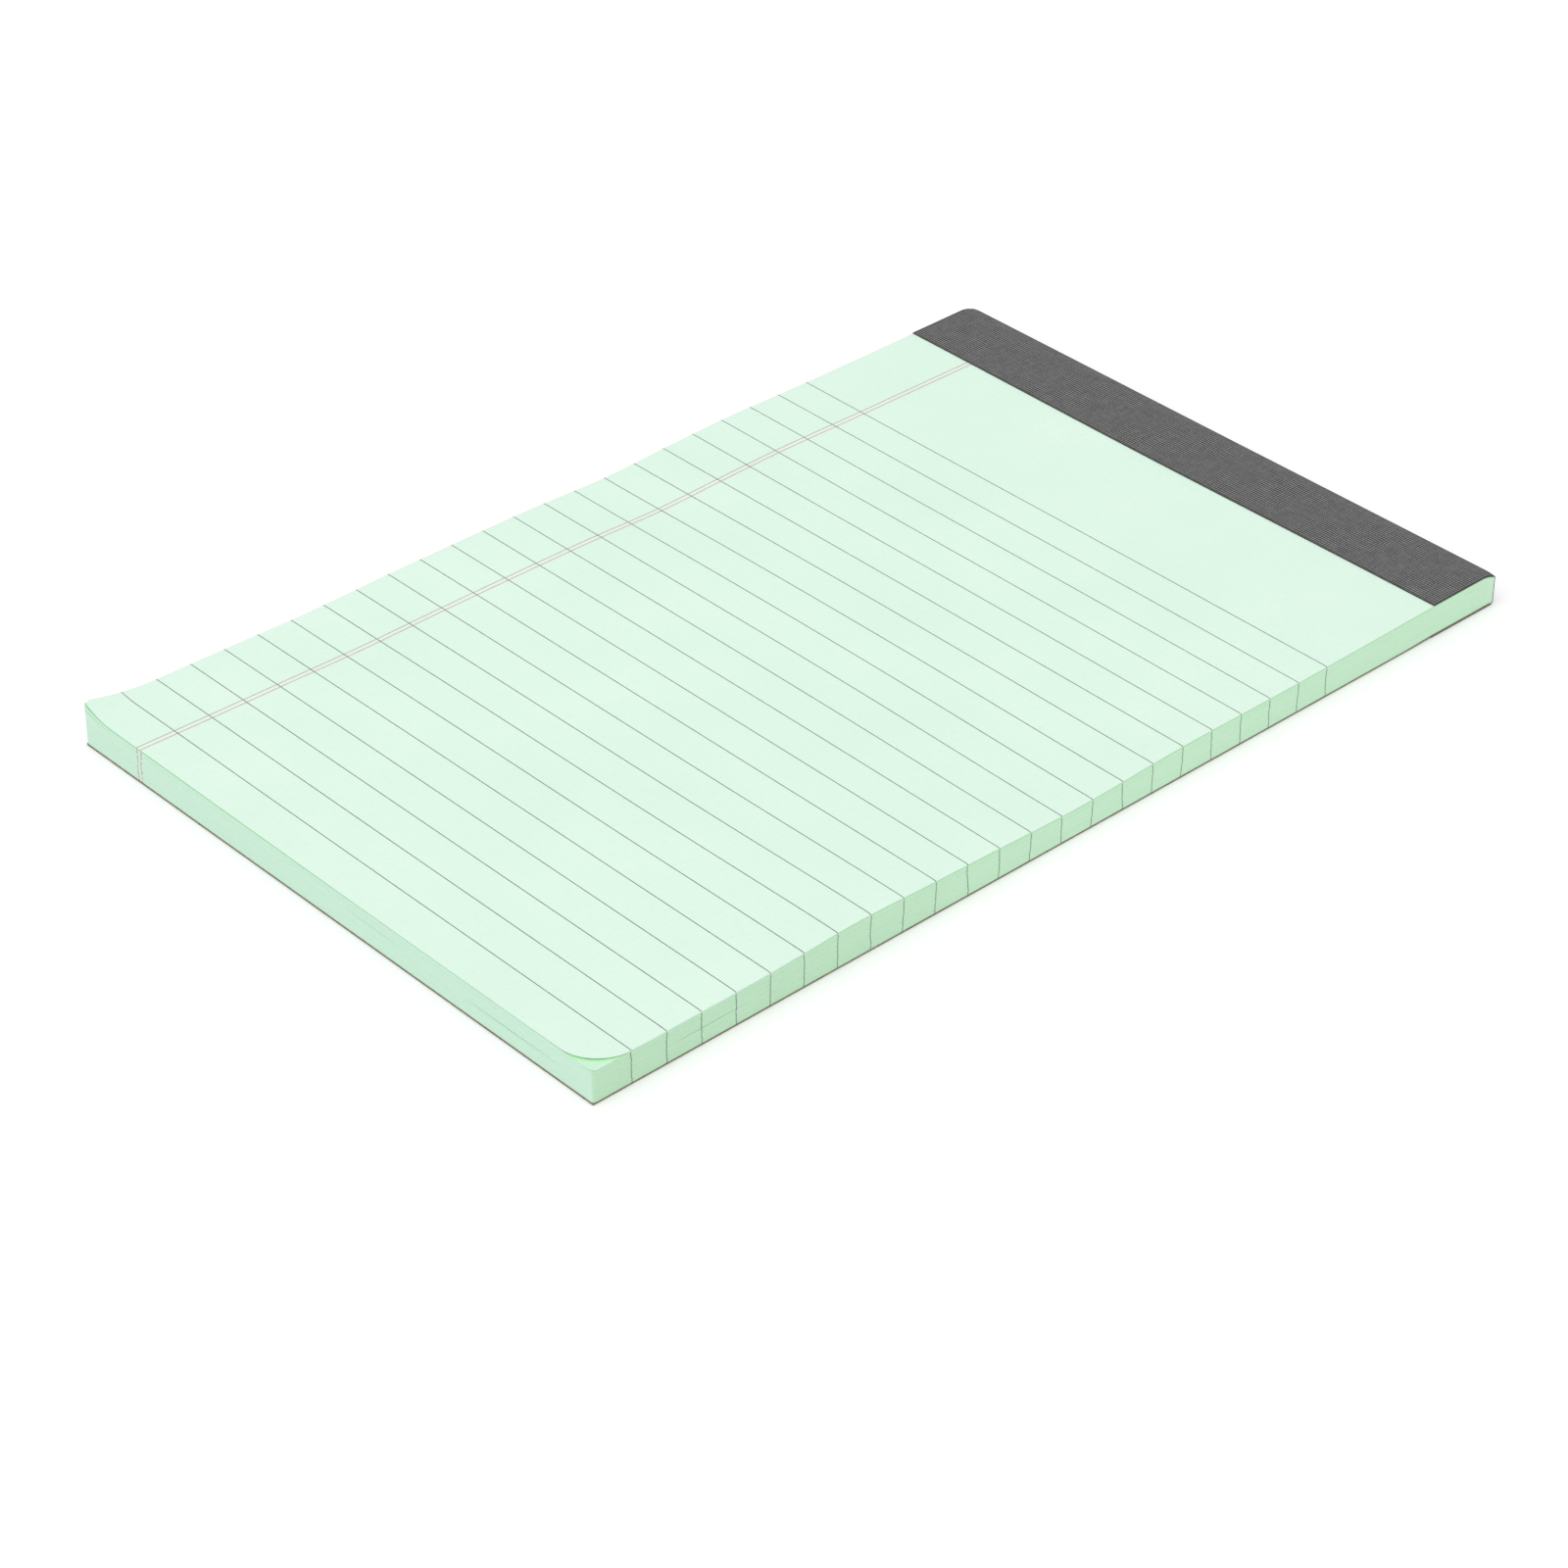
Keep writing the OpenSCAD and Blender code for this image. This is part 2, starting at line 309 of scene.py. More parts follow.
def blend_tones(tree, share, first, second, low=0.3, high=0.7):
    """Mixes two colours by a pattern, stretched so that low is all first and high all second."""
    spread = add_node(tree, "ShaderNodeMapRange",
                      {"Value": share, "From Min": low, "From Max": high})
    mix = add_node(tree, "ShaderNodeMix", data_type="RGBA")
    tree.links.new(spread.outputs[0], mix.inputs["Factor"])
    for socket, colour in ((mix.inputs[6], first), (mix.inputs[7], second)):
        if isinstance(colour, bpy.types.NodeSocket):
            tree.links.new(colour, socket)
        else:
            socket.default_value = colour
    return mix.outputs[2]


def add_bump(tree, shader, height, strength, depth):
    """Lets a pattern tilt the surface by a depth in metres."""
    bump = add_node(tree, "ShaderNodeBump",
                    {"Height": height, "Strength": strength, "Distance": depth})
    tree.links.new(bump.outputs[0], shader.inputs["Normal"])


print("finish helpers ready")

# %% [markdown]
# ### Paper
# The sheets are matte uncoated mint paper. From close by they show short fibres and a faint cloudy
# look where the pulp is thicker. The cut edges look greener than the faces, because light bounces
# between the sheets before it comes out. The long sides are painted darker and greener than the
# foot, which is painted shade, deepest near the foot. A plain colour would lose all that, so each
# finish mixes tones.

# %% Paper finishes
paper, tree, shader = new_finish("mint_paper", roughness=0.85, specular=0.2)
clouds = pattern(tree, scale=55, detail=3)
fibres = pattern(tree, scale=1900, detail=4, stretch=(1, 0.4, 1))
mint = blend_tones(tree, clouds, tone(227, 250, 234), tone(222, 247, 230))
mint = blend_tones(tree, fibres, mint, tone(217, 244, 225), low=0.5, high=0.9)
tree.links.new(mint, shader.inputs["Base Color"])
add_bump(tree, shader, fibres, strength=0.25, depth=0.00002)

cut_paper, tree, shader = new_finish("mint_cut_edges", roughness=0.9, specular=0.15)
streaks = pattern(tree, scale=60, detail=4, stretch=(1, 1, 140))
fibres = pattern(tree, scale=2600, detail=3)
normal = add_node(tree, "ShaderNodeTexCoord").outputs["Normal"]
normal_x = add_node(tree, "ShaderNodeSeparateXYZ", {"Vector": normal}).outputs["X"]
sideways = worked(tree, "ABSOLUTE", normal_x)
foot_mint = blend_tones(tree, streaks, tone(222, 251, 232), tone(217, 248, 228))
# Painted shade on the long sides: darker, greener tones, deepest near the foot, gone by the middle.
side_shade_near_foot = blend_tones(tree, streaks, tone(207, 241, 210), tone(201, 237, 204))
side_shade_near_head = blend_tones(tree, streaks, tone(217, 250, 221), tone(211, 246, 215))
place = add_node(tree, "ShaderNodeTexCoord").outputs["Object"]
place_y = add_node(tree, "ShaderNodeSeparateXYZ", {"Vector": place}).outputs["Y"]
deepest_side_shade_y = -0.085
lightest_side_shade_y = 0.0
side_shade_mint = blend_tones(tree, place_y, side_shade_near_foot, side_shade_near_head, low=deepest_side_shade_y, high=lightest_side_shade_y)
# Faces that point sideways take the painted side shade; the foot keeps its own tone.
mint = blend_tones(tree, sideways, foot_mint, side_shade_mint)
mint = blend_tones(tree, fibres, mint, tone(202, 242, 209), low=0.6, high=1.1)
tree.links.new(mint, shader.inputs["Base Color"])
add_bump(tree, shader, fibres, strength=0.3, depth=0.00003)
print("paper finishes:", paper.name, cut_paper.name)

# %% [markdown]
# The rims of the two loose leaves are painted greenest, a painted glow of the light that comes
# through them, and so is the lower leaf beside the edge above it. Their darker tones are painted
# shade, under the rim and where the leaf above hides the light. How green a point is depends on its
# way to the corners. That would take many nodes, so numpy works it out further on and the finish
# reads it as an attribute, a number for every point that the mesh brings along.

# %% Paper with light in it
def lit_through(name, shaded, lit):
    """Cloudy paper that goes from shaded to lit tones as the mesh's attribute rises to one."""
    finish, tree, shader = new_finish(name, roughness=0.9, specular=0.15)
    clouds = pattern(tree, scale=300, detail=3)
    light = add_node(tree, "ShaderNodeAttribute", attribute_name="near_leaf_edge").outputs["Fac"]
    dim_mint = blend_tones(tree, clouds, *shaded)
    lit_mint = blend_tones(tree, clouds, *lit)
    mint = blend_tones(tree, light, dim_mint, lit_mint, low=0, high=1)
    tree.links.new(mint, shader.inputs["Base Color"])
    print("lit finish:", name)
    return finish


# Second leaf: dim tones are painted shade where the top leaf shades its bare corner, lit tones a
# painted green glow beside the edge above it.
lit_paper = lit_through(
    "mint_lit_through",
    (tone(212, 246, 222), tone(206, 242, 217)),
    (tone(196, 248, 196), tone(188, 244, 190)))
# Top leaf's rim: its lit tones are a darker green line, painted shade under the rim together with a
# painted glow of light through the paper.
leaf_rim = lit_through(
    "mint_leaf_rim",
    (tone(219, 250, 230), tone(214, 247, 226)),
    (tone(178, 226, 178), tone(170, 222, 172)))

# %% [markdown]
# ## The stack of sheets
# Forty-eight sheets lie flat under the two loose leaves. Each sheet shows as a thin band on the cut
# sides, with a shallow groove to the next one. The stack is one closed skin: a ring round the pad
# is repeated at three heights for every sheet, and a grid closes it above and below. A knife cuts
# such pads in one go, so the sheets stand out of line by only a few hundredths of a millimetre.

# %% Stations over the pad
near_edge = np.array([0, 0.03, 0.1, 0.25, 0.45, 0.8, 1.25, 1.8, 2.4, 3.1, 3.9, 4.8, 5.7, 6.6])
edge_band = 7.5
columns_between = 60
rows_between = 92
middle_x = np.linspace(-half_width + edge_band, half_width - edge_band, columns_between)
stations_x = np.concatenate([near_edge - half_width, middle_x, half_width - near_edge[::-1]])
middle_d = np.linspace(edge_band, sheet_length - head_reach, rows_between)
head_d = sheet_length - np.array([2.4, 1.8, 1.2, 0.6, 0])
stations_d = np.concatenate([near_edge, middle_d, head_d])
grid_x, grid_d = np.meshgrid(stations_x, stations_d)
print(len(stations_x), "stations across and", len(stations_d), "along")

# %% Soft foot corners
corner_radius = 0.45
corner_wear = 0.7


def soften(x, d, share):
    """Rounds both foot corners in plan: squares about a centre become circles of the same half width.

    The circle of the right corner grows with the square of the share of the way up, as it wears."""
    radius = corner_radius + np.where(x > 0, corner_wear * np.asarray(share) ** 2, 0)
    inward = half_width - np.abs(x)
    short_x = np.clip(radius - inward, 0, None)
    short_d = np.clip(radius - d, 0, None)
    away = np.hypot(short_x, short_d)
    pull = 1 - np.maximum(short_x, short_d) / np.where(away > 0, away, 1)
    pull = np.where(away > 0, pull, 0)
    return x - np.sign(x) * pull * short_x, d + pull * short_d


print("corner moves in by", corner_radius - corner_radius / np.sqrt(2), "mm each way")

# %% Ring round the stack
stack_count = sheet_count - 2
glued_reach = 4.0
ring = border(*grid_x.shape)
ring_x = grid_x.ravel()[ring]
ring_d = grid_d.ravel()[ring]
out_x = np.where(np.isclose(np.abs(ring_x), half_width), np.sign(ring_x), 0)
out_d = np.where(np.isclose(ring_d, 0), -1.0, 0.0)
loose = np.clip((sheet_length - ring_d) / glued_reach, 0, 1)
fan_most = 0.68
fan_start = 0.25
crack_sheet = 44
crack_share = 0.1
crack_rise = 0.32


def stack_height(x, d, share):
    """A share of the way up to the second leaf, plus the fan of the left corner above its start.

    The fan grows with the square of the way up, and jumps by a share of the curl at the crack."""
    low = block_base(d)
    high = flat_top + swell(x, d) - settle(x, d) - 2 * sheet_pitch
    follow = fan_most * np.clip((share - fan_start) / (1 - fan_start), 0, None) ** 2
    jump = crack_share * np.clip((share * stack_count - crack_sheet) / crack_rise + 0.5, 0, 1)
    return low + share * (high - low) + (follow + jump) * curl(x, d)[..., 0]


print("ring of", len(ring), "points")

# %% [markdown]
# Where the pad was thumbed, the sheets have parted a little and leave a dark line on the side. Such
# a split is a groove that runs deeper and wider over a short stretch of one side. The uppermost
# sheets fan up with the curl at the left foot corner, and a crack runs under them there.

# %% Splits between sheets
# Side as outward x and y, middle and half length along it, sheet below the split, depth, opening
splits = [
    (1, 0, 23.0, 8.5, 24, 0.7, 0.09),
    (0, -1, 44.5, 11.0, 23, 0.7, 0.09),
    (0, -1, 12.0, 8.0, 31, 0.4, 0.04),
]
groove = 0.015
sheet_levels = np.array([0, 0.16, 0.84])
per_sheet = len(sheet_levels)
levels = (np.arange(stack_count)[:, None] + sheet_levels).ravel()
levels = np.append(levels, stack_count)
inset = np.where(levels % 1 == 0, groove, 0.0)[:, None] * np.ones(len(ring))
parting = np.zeros((len(levels), len(ring)))
for side_x, side_d, centre, reach, sheet, depth, opening in splits:
    on_side = np.isclose(out_x, side_x) if side_x else np.isclose(out_d, side_d)
    way = ring_d if side_x else ring_x
    width = on_side * np.clip(1 - ((way - centre) / reach) ** 2, 0, None)
    level = per_sheet * sheet
    inset[level] += depth * width
    parting[level - 1] -= opening * width
    parting[level + 1] += opening * width
crack_depth = 0.8
crack_way = np.sqrt(curl(ring_x, ring_d)[:, 0] / curls[0, 1])
inset[per_sheet * crack_sheet] += crack_depth * crack_way
print("splits:", len(splits), "and one crack")

# %% Wall of the stack
draw = np.random.default_rng(11)
sheet_slip = 0.018
shift = draw.normal(0, sheet_slip, (stack_count, 2))
level_sheet = np.minimum(levels.astype(int), stack_count - 1)
slip_x = shift[level_sheet, 0][:, None] * loose
slip_d = shift[level_sheet, 1][:, None] * loose
wall_share = levels[:, None] / stack_count
wall_z = stack_height(ring_x, ring_d, wall_share) + parting
soft_x, soft_d = soften(ring_x, ring_d, wall_share)
wall = on_pad(
    soft_x - inset * out_x * loose + slip_x, soft_d - inset * out_d * loose + slip_d, wall_z)
ring_numbers = np.arange(wall_z.size).reshape(wall_z.shape)
print("wall of", len(levels), "rings")

# %% Stack of sheets
inside = np.setdiff1d(np.arange(grid_x.size), ring)
inside_x = grid_x.ravel()[inside]
inside_d = grid_d.ravel()[inside]


def lid(level, start):
    """Grid that closes the stack at one level: its border is that ring, its inside is new points."""
    number = np.empty(grid_x.size, int)
    number[ring] = ring_numbers[level]
    number[inside] = start + np.arange(len(inside))
    share = levels[level] / stack_count
    height = stack_height(inside_x, inside_d, share)
    return on_pad(*soften(inside_x, inside_d, share), height), number[grid_quads(*grid_x.shape)]


base_points, base_quads = lid(0, wall_z.size)
roof_points, roof_quads = lid(-1, wall_z.size + len(inside))
stack_points = np.concatenate([wall.reshape(-1, 3), base_points, roof_points])
side_quads = wall_quads(ring_numbers[:-1], ring_numbers[1:])
stack_quads = np.concatenate([side_quads, base_quads[:, ::-1], roof_quads])
stack_shape = (stack_points, stack_quads)
add_piece("sheet_stack", stack_shape, cut_paper, "page_block")

# %% [markdown]
# ## The two loose leaves
# The top sheet and the one under it are single sheets with a real thickness, so light gets under
# the curled corners and draws the thin bright edge that gives paper away. Their stations include
# both edges of each ruled line, so that the ink can lie on the sheet without cutting into it.

# %% Places of the ruled lines
ruled_low, ruled_high = box_mm("ruled_lines")
cad_line_width = 0.3
line_count = 23
line_width = 0.17
first_line = ruled_low[1] + cad_line_width / 2 - foot_y
last_line = ruled_high[1] - cad_line_width / 2 - foot_y
lines_d = np.linspace(first_line, last_line, line_count)
line_edges = np.sort(np.concatenate([lines_d - line_width / 2, lines_d + line_width / 2]))
print("lines every", lines_d[1] - lines_d[0], "mm")

# %% Loose leaves
leaf_thickness = 0.108
# How far the second leaf follows the curl of the left and of the right corner
second_follow = np.array([0.82, 0.15])
leaf_stations = np.sort(np.concatenate([stations_d, line_edges]))
leaf_x, leaf_d = np.meshgrid(stations_x, leaf_stations)
worn_d = round_corners(leaf_x, leaf_d, line_edges[0])


def leaf(x, d, upper):
    """One sheet from the heights of its upper face, closed by a second face a thickness lower."""
    face = on_pad(x, d, upper)
    return slabs(face[None], (face - [0, 0, leaf_thickness])[None])


level_top = flat_top + swell(leaf_x, leaf_d) - settle(leaf_x, leaf_d)
second_height = level_top - sheet_pitch + (second_follow * curl(leaf_x, leaf_d)).sum(axis=-1)
second_leaf = add_piece(
    "second_leaf", leaf(*soften(leaf_x, leaf_d, 1), second_height), lit_paper, "page_block")
top_leaf = add_piece(
    "top_leaf", leaf(leaf_x, worn_d, top(leaf_x, worn_d)), paper, "page_block")

# %% Light in the leaves
fade_stretch = 1.6
fade_start = 28.0
fade_length = 20.0
corner_reach = 5.0
glow_reach = 0.7


def far_light(x, d):
    """Share of green in a rim: none round the right foot corner, then it grows with the distance."""
    away = np.hypot((half_width - x) / fade_stretch, d)
    return np.clip((away - fade_start) / fade_length, 0, 1)


def corner_light(x, d):
    """Share of green close to the right foot corner: all of it at first, then it falls to nothing."""
    return np.clip(2 - np.hypot(half_width - x, d) / corner_reach, 0, 1)


def uncovered(x, d):
    """How far outside the top leaf's round corners: the way from a circle's centre less its radius."""
    radius = curls[:, 4]
    back_x = np.clip(radius - (half_width - curls[:, 0] * x[..., None]), 0, None)
    back_d = np.clip(radius - d[..., None], 0, None)
    return np.clip(np.hypot(back_x, back_d) - radius, 0, None).max(axis=-1)


def light_leaf(piece, share):
    """Keeps a share for each point of the upper face, and the same for the lower, on the mesh."""
    glow = piece.data.attributes.new("near_leaf_edge", "FLOAT", "POINT")
    glow.data.foreach_set("value", np.tile(share.ravel(), 2).astype(np.float32))


# These shares set how much painted glow and painted shade each point of the two leaves takes.
bare_by = uncovered(leaf_x, leaf_d)
rim_light = far_light(leaf_x, leaf_d)
glow_light = np.maximum(rim_light, corner_light(leaf_x, leaf_d))
light_leaf(top_leaf, rim_light)
light_leaf(second_leaf, glow_light * np.exp(-(bare_by / glow_reach) ** 2))
print("the second leaf peeps out by up to", bare_by.max(), "mm")

# %% Rim of the top leaf
flat_faces = 2 * (leaf_x.shape[0] - 1) * (leaf_x.shape[1] - 1)
rim = np.arange(len(top_leaf.data.polygons)) >= flat_faces
top_leaf.data.materials.append(leaf_rim)
top_leaf.data.polygons.foreach_set("material_index", rim.astype(np.int32))
print("rim of", rim.sum(), "faces")

# %% [markdown]
# ## Printed lines
# The ruling is a thin grey-green print that runs off both sides, and two reddish margin lines cross
# it on the left. An image would blur from close by, so each line is a ribbon about two hundredths
# of a millimetre thick that follows the sheet. The ink soaks in unevenly, which a fine noise shows.

# %% Ink finishes
ruling_ink, tree, shader = new_finish("ruling_ink", roughness=0.8, specular=0.2)
soaked = pattern(tree, scale=900, detail=3)
grey_green = blend_tones(tree, soaked, tone(113, 122, 118), tone(135, 144, 140))
tree.links.new(grey_green, shader.inputs["Base Color"])

margin_ink, tree, shader = new_finish("margin_ink", roughness=0.8, specular=0.2)
soaked = pattern(tree, scale=900, detail=3)
faded_red = blend_tones(tree, soaked, tone(202, 154, 166), tone(216, 172, 184))
tree.links.new(faded_red, shader.inputs["Base Color"])
print("inks:", ruling_ink.name, margin_ink.name)

# %% Ruled lines
ruling_rise = 0.012
ink_sink = 0.01


def print_on_top(x, d, rise):
    """Ribbons on the top sheet: its height raised a little above and sunk a little below."""
    height = top(x, d)
    return slabs(on_pad(x, d, height + rise), on_pad(x, d, height - ink_sink))


line_d = lines_d[:, None, None] + np.array([-0.5, 0.5])[:, None] * line_width
line_x = np.broadcast_to(stations_x, (line_count, 2, len(stations_x)))
line_d = np.broadcast_to(line_d, line_x.shape)
ruling_shape = print_on_top(line_x, line_d, ruling_rise)
add_piece("ruling", ruling_shape, ruling_ink, "ruled_lines")

# %% Margin lines
margin_low, margin_high = box_mm("margin_lines")
margin_width = 0.2
margin_rise = 0.006
margins_x = np.array([margin_low[0], margin_high[0]]) + cad_line_width / 2 * np.array([1, -1])
margin_d = np.append(leaf_stations[leaf_stations < tape_edge], tape_edge)
margin_x = margins_x[:, None, None] + np.array([-0.5, 0.5]) * margin_width
margin_x = np.broadcast_to(margin_x, (2, len(margin_d), 2))
margin_d = np.broadcast_to(margin_d[:, None], margin_x.shape)
margin_shape = print_on_top(margin_x, margin_d, margin_rise)
add_piece("margin_rules", margin_shape, margin_ink, "margin_lines")

# %% [markdown]
# ## Marks on the cut edges
# Each sheet carries the same print, so the ends of its lines show on the cut sides as a row of tiny
# marks, one for each sheet, that runs down the block and wanders a little because no two sheets lie
# quite alike. Each mark is a flat box on the edge of its own sheet.

# %% Marks of the ruled lines on both sides
mark_width = 0.2
mark_rise = 0.006
mark_sink = 0.03
mark_drift = 0.02
mark_slip = 0.03
sheets = np.arange(stack_count)
band = np.array([0.14, 0.86])


def wander(count):
    """Sideways error of each sheet in a column: a slow drift plus its own small slip."""
    drift = np.cumsum(draw.normal(0, mark_drift, (count, stack_count)), axis=1)
    slip = draw.normal(0, mark_slip, (count, stack_count))
    return drift - drift.mean(axis=1, keepdims=True) + slip


def side_marks(side):
    """Boxes on one side face: across the line by its width, up by the sheet's own band."""
    middle = lines_d[:, None] + wander(line_count)
    d = middle[..., None, None] + side * np.array([-0.5, 0.5]) * mark_width
    share = (sheets[:, None] + band)[None, :, :, None] / stack_count
    d, share = np.broadcast_arrays(d, share)
    z = stack_height(side * half_width, d, share)
    edge = side * half_width + shift[:, 0][None, :, None, None]
    outer = on_pad(edge + side * mark_rise, d, z).reshape(-1, 2, 2, 3)
    inner = on_pad(edge - side * mark_sink, d, z).reshape(-1, 2, 2, 3)
    return outer, inner


left_marks = side_marks(-1)
right_marks = side_marks(1)
mark_shape = slabs(*(np.concatenate(pair) for pair in zip(left_marks, right_marks)))
add_piece("ruling_edge_marks", mark_shape, ruling_ink, "ruled_lines")

# %% Marks of the margin lines on the foot
foot_mark_width = 0.28
foot_wander = 1.6
inked_share = 0.75


def foot_marks():
    """Boxes on the foot: across the line by their width, up by the sheet's band, some left out."""
    middle = margins_x[:, None] + foot_wander * wander(2)
    inked = draw.random(middle.shape) < inked_share
    x = middle[..., None, None] + np.array([-0.5, 0.5]) * foot_mark_width
    share = (sheets[:, None] + band)[None, :, :, None] / stack_count
    x, share = np.broadcast_arrays(x, share)
    z = stack_height(x, np.zeros_like(x), share)
    edge = shift[:, 1][None, :, None, None]
    outer = on_pad(x, edge - mark_rise, z)[inked]
    inner = on_pad(x, edge + mark_sink, z)[inked]
    return outer, inner


foot_mark_shape = slabs(*foot_marks())
add_piece("margin_edge_marks", foot_mark_shape, margin_ink, "margin_lines")

# %% [markdown]
# ## The tape
# A charcoal tape with a linen emboss holds the head. It starts on the top sheet, goes round the
# glued head and ends on the back. The path of its outer face is a row of stations with an outward
# direction at each, so the inner face is the same path one thickness further in. Ribs that run
# along the head are pressed into it at about every half millimetre, as real waves in that face.

# %% Path of the tape
bend = glue_thickness + tape_thickness
run_rows = 116
head_rows = 40
turn_rows = 9
run = np.linspace(tape_edge, sheet_length, run_rows)
climb = np.linspace(1, 0, head_rows)[1:]
back = run[-2::-1]
upper_turn = np.radians(np.linspace(90, 0, turn_rows)[1:])
lower_turn = upper_turn - np.pi / 2
facing = np.concatenate([
    np.full(run.shape, np.pi / 2), upper_turn, np.zeros(climb.shape), lower_turn,
    np.full(back.shape, -np.pi / 2)])
path_d = np.concatenate([
    run, sheet_length + bend * np.cos(facing[len(run):-len(back)]), back])[:, None]
run_x, run_d = np.meshgrid(stations_x, run)
run_z = top(run_x, run_d) + tape_thickness
head_z = run_z[-1]
path_z = np.concatenate([
    run_z,
    head_z + bend * (np.sin(upper_turn)[:, None] - 1),
    bend + climb[:, None] * (head_z - 2 * bend),
    bend * (1 + np.sin(lower_turn)[:, None]) + 0 * head_z,
    np.zeros((len(back), len(stations_x)))])
middle_z = path_z[:, len(stations_x) // 2]
steps = np.hypot(np.diff(path_d[:, 0]), np.diff(middle_z))
path_s = np.concatenate([[0], np.cumsum(steps)])
print("tape is", path_s[-1], "mm long from edge to edge")

# %% [markdown]
# The tape's finish reads a UV map in millimetres, because a weave follows the tape round the head
# and Object coordinates would smear it there. Two waves make the threads. Long thin patches of noise
# make some threads paler than their neighbours, as uneven yarn is, small knots break up the rows, and
# a slow noise lets them waver. The cut edges are darker, partly their own dark core and partly
# painted shade along the tape's thickness, and the fold at the head is darker with painted shade.

# %% Weave of the tape
rib_pitch = 0.54
thread_pitch = 0.54
waver = 0.3
unevenness = 0.35
thread_relief = 0.7
tape_cloth, tree, shader = new_finish("charcoal_tape", roughness=0.6, specular=0.3)
tape_uv = add_node(tree, "ShaderNodeUVMap", uv_map="tape_mm").outputs[0]
tape_place = add_node(tree, "ShaderNodeSeparateXYZ", {"Vector": tape_uv})
across_tape = tape_place.outputs["X"]
along_tape = tape_place.outputs["Y"]


def threads(place, pitch):
    """A wave between 0 and 1 that repeats every pitch: half of one plus the sine of the angle."""
    slow_noise = pattern(tree, scale=0.4, detail=2, place=tape_uv)
    slow = worked(tree, "MULTIPLY_ADD", slow_noise, waver, -waver / 2)
    angle = worked(tree, "MULTIPLY", worked(tree, "ADD", place, slow), 2 * np.pi / pitch)
    return worked(tree, "MULTIPLY_ADD", worked(tree, "SINE", angle), 0.5, 0.5)


weft = threads(across_tape, thread_pitch)
warp = threads(along_tape, rib_pitch)
crossing = worked(tree, "MULTIPLY_ADD", weft, thread_relief, 1 - thread_relief)
weave = worked(tree, "MULTIPLY", crossing, warp)
long_yarn = pattern(tree, scale=1, detail=3, stretch=(0.25, 2.2, 1), place=tape_uv)
cross_yarn = pattern(tree, scale=1, detail=3, stretch=(1.8, 0.3, 1), place=tape_uv)
knots = pattern(tree, scale=2.4, detail=1, place=tape_uv)
yarn = worked(tree, "ADD", worked(tree, "ADD", long_yarn, cross_yarn), knots)
yarn_mean = 1.5
about_mean = worked(tree, "SUBTRACT", yarn, yarn_mean)
uneven = worked(tree, "MULTIPLY_ADD", about_mean, unevenness, weave)
print("weave of", rib_pitch, "by", thread_pitch, "mm")

# %% Tape finish
charcoal = blend_tones(tree, uneven, tone(46, 46, 47), tone(150, 150, 149), low=0, high=0.9)
# The tape darkens within about a quarter millimetre of its cut edges: partly its dark core, partly
# painted shade.
to_end = worked(tree, "MINIMUM", along_tape, worked(tree, "SUBTRACT", path_s[-1], along_tape))
to_side = worked(tree, "MINIMUM", across_tape, worked(tree, "SUBTRACT", sheet_width, across_tape))
to_edge = worked(tree, "MINIMUM", to_end, to_side)
charcoal = blend_tones(tree, to_edge, tone(46, 48, 47), charcoal, low=0.1, high=0.26)
# Painted shade: the tape darkens round the fold at the head.
fold_s = path_s[len(run) - 1] + bend * np.pi / 4
to_fold = worked(tree, "ABSOLUTE", worked(tree, "SUBTRACT", along_tape, fold_s))
charcoal = blend_tones(tree, to_fold, tone(66, 67, 67), charcoal, low=0.25, high=0.75)
tree.links.new(charcoal, shader.inputs["Base Color"])
add_bump(tree, shader, uneven, strength=0.6, depth=0.00004)
print("tape finish:", tape_cloth.name)

# %% Tape
rib_depth = 0.05
pressed = rib_depth * (0.5 - 0.5 * np.cos(2 * np.pi * path_s / rib_pitch))[:, None]
face_d = np.cos(facing)[:, None]
face_z = np.sin(facing)[:, None]
tape_outer = on_pad(stations_x, path_d - pressed * face_d, path_z - pressed * face_z)
tape_inner = on_pad(
    stations_x, path_d - tape_thickness * face_d, path_z - tape_thickness * face_z)
tape_shape = slabs(tape_outer[None], tape_inner[None])
tape_wrap = add_piece("tape_wrap", tape_shape, tape_cloth, "binding_tape")

# %% Flat map of the tape
flat_u, flat_v = np.meshgrid(stations_x + half_width, path_s)
flat_uv = np.tile(np.stack([flat_u, flat_v], axis=-1).reshape(-1, 2), (2, 1))
loop_points = np.empty(len(tape_wrap.data.loops), np.int32)
tape_wrap.data.loops.foreach_get("vertex_index", loop_points)
uv_layer = tape_wrap.data.uv_layers.new(name="tape_mm")
uv_layer.data.foreach_set("uv", flat_uv[loop_points].astype(np.float32).ravel())
print("tape UV spans", flat_uv.max(axis=0), "mm")

# %% [markdown]
# ## Board and glue
# The board and the film of glue have the right shape in the CAD model, so they stay and only get a
# finish: grey-brown pulp board with fibres and specks, and dried glue, which is smooth and tinted by
# the paper in it.

# %% Board and glue finishes
board_pulp, tree, shader = new_finish("pulp_board", roughness=0.85, specular=0.2)
clouds = pattern(tree, scale=150, detail=4)
fibres = pattern(tree, scale=1300, detail=4, stretch=(1, 0.35, 1))
specks = pattern(tree, scale=1500, detail=2)
brown = blend_tones(tree, clouds, tone(150, 140, 126), tone(143, 132, 118))
brown = blend_tones(tree, fibres, brown, tone(124, 113, 101), low=0.48, high=0.8)
brown = blend_tones(tree, specks, tone(176, 166, 150), brown, low=0.26, high=0.34)
brown = blend_tones(tree, specks, brown, tone(92, 80, 70), low=0.64, high=0.74)
tree.links.new(brown, shader.inputs["Base Color"])
add_bump(tree, shader, fibres, strength=0.3, depth=0.00004)

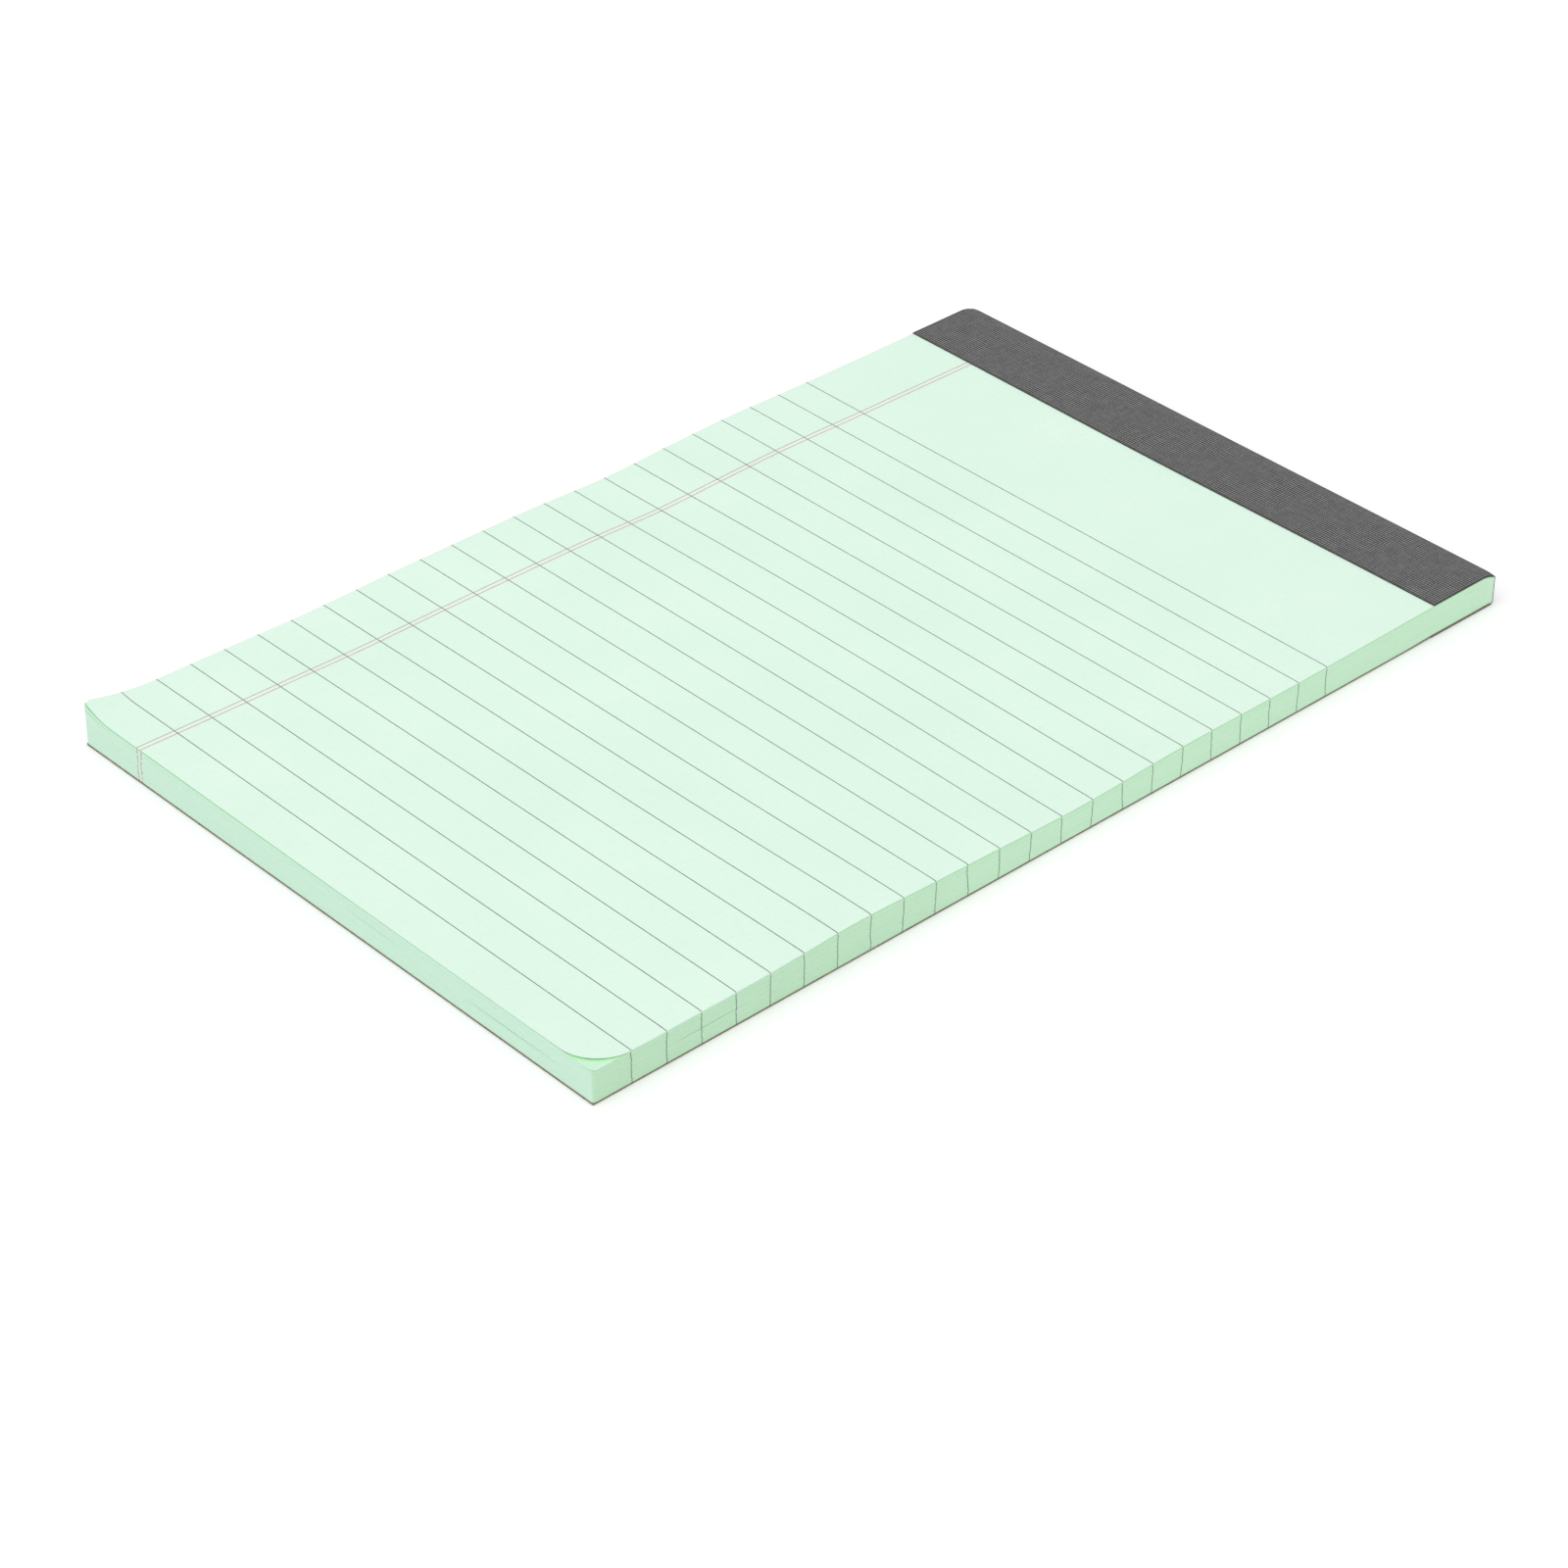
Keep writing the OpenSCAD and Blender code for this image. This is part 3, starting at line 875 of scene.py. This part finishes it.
dried_glue, tree, shader = new_finish("dried_glue", roughness=0.45, specular=0.4)
clouds = pattern(tree, scale=700, detail=3)
cream = blend_tones(tree, clouds, tone(222, 240, 222), tone(206, 228, 206))
tree.links.new(cream, shader.inputs["Base Color"])
add_bump(tree, shader, clouds, strength=0.2, depth=0.00005)

for name, finish in (("backing_board", board_pulp), ("head_glue", dried_glue)):
    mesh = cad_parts[name].data
    mesh.materials.clear()
    mesh.materials.append(finish)
    print(name, "wears", finish.name)

# %% [markdown]
# ## Floor and light
# The pad lies on a plain pale floor under a white sky, with one large soft lamp over it. The sky
# does most of the work, so that a colour renders about as it is written. The floor adds a little
# white for the camera alone, which makes the ground white but keeps the shadow under the pad.

# %% Floor
def seen_directly(tree):
    """One for rays from the camera and for those that shine off or pass through something first."""
    path = add_node(tree, "ShaderNodeLightPath").outputs
    either = worked(tree, "MAXIMUM", path["Is Camera Ray"], path["Is Glossy Ray"])
    return worked(tree, "MAXIMUM", either, path["Is Transmission Ray"])


floor_reach = 3.0
floor_z = -0.00003
floor_grey = 0.9
ground_glow = 0.16
corners = np.array([[-1, -1], [1, -1], [1, 1], [-1, 1]]) * floor_reach
floor_mesh = bpy.data.meshes.new("floor")
floor_mesh.from_pydata([(*c, floor_z) for c in corners.tolist()], [], [(0, 1, 2, 3)])
floor = bpy.data.objects.new("floor", floor_mesh)
bpy.context.scene.collection.objects.link(floor)
floor_paint = bpy.data.materials.new("pale_floor")
floor_paint.use_nodes = True
tree = floor_paint.node_tree
tree.nodes.clear()
matte = add_node(tree, "ShaderNodeBsdfDiffuse", {"Color": (floor_grey, floor_grey, floor_grey, 1)})
shine = worked(tree, "MULTIPLY", seen_directly(tree), ground_glow)
glow = add_node(tree, "ShaderNodeEmission", {"Strength": shine})
ground = add_node(tree, "ShaderNodeAddShader", {0: matte.outputs[0], 1: glow.outputs[0]})
add_node(tree, "ShaderNodeOutputMaterial", {"Surface": ground.outputs[0]})
floor_mesh.materials.append(floor_paint)
print("floor at", floor_z)

# %% Sky and lamp
sky_strength = 0.8
world = bpy.data.worlds.new("studio")
bpy.context.scene.world = world
world.use_nodes = True
tree = world.node_tree
tree.nodes.clear()
lit_sky = add_node(
    tree, "ShaderNodeBackground", {"Color": (1, 1, 1, 1), "Strength": sky_strength})
seen_sky = add_node(tree, "ShaderNodeBackground", {"Color": (1, 1, 1, 1), "Strength": 1.0})
sky = add_node(tree, "ShaderNodeMixShader",
               {0: seen_directly(tree), 1: lit_sky.outputs[0], 2: seen_sky.outputs[0]})
add_node(tree, "ShaderNodeOutputWorld", {"Surface": sky.outputs[0]})

lamp_data = bpy.data.lights.new("soft_lamp", "AREA")
lamp_data.shape = "DISK"
lamp_data.size = 1.2
lamp_data.energy = 4.7
lamp = bpy.data.objects.new("soft_lamp", lamp_data)
lamp.location = (0.05, -0.35, 1.35)
lamp.rotation_mode = "QUATERNION"
lamp.rotation_quaternion = (-lamp.location).to_track_quat("-Z", "Y")
bpy.context.scene.collection.objects.link(lamp)
bpy.context.scene.view_settings.view_transform = "Standard"
print("sky", sky_strength, "lamp", lamp_data.energy, "W")

# %% [markdown]
# ## Camera
# The camera stands off the right foot corner and looks down at about thirty-five degrees through a
# long lens. Its place was found by fitting the corners and the ruled lines of the pad.

# %% Camera
camera_place = (0.46666, -0.4372, 0.4223)
camera_sight = (-0.60222, 0.55765, -0.57128)
camera_roll = np.radians(0.29)
camera_data = bpy.data.cameras.new("camera")
camera_data.lens = 104.86
camera_data.sensor_width = 36
camera_data.clip_start = 0.01
camera_data.clip_end = 20
camera = bpy.data.objects.new("camera", camera_data)
camera.location = camera_place
camera.rotation_mode = "QUATERNION"
level_turn = Vector(camera_sight).to_track_quat("-Z", "Y")
camera.rotation_quaternion = level_turn @ Quaternion((0, 0, 1), camera_roll)
bpy.context.scene.collection.objects.link(camera)
bpy.context.scene.camera = camera
print("camera at", camera_place)
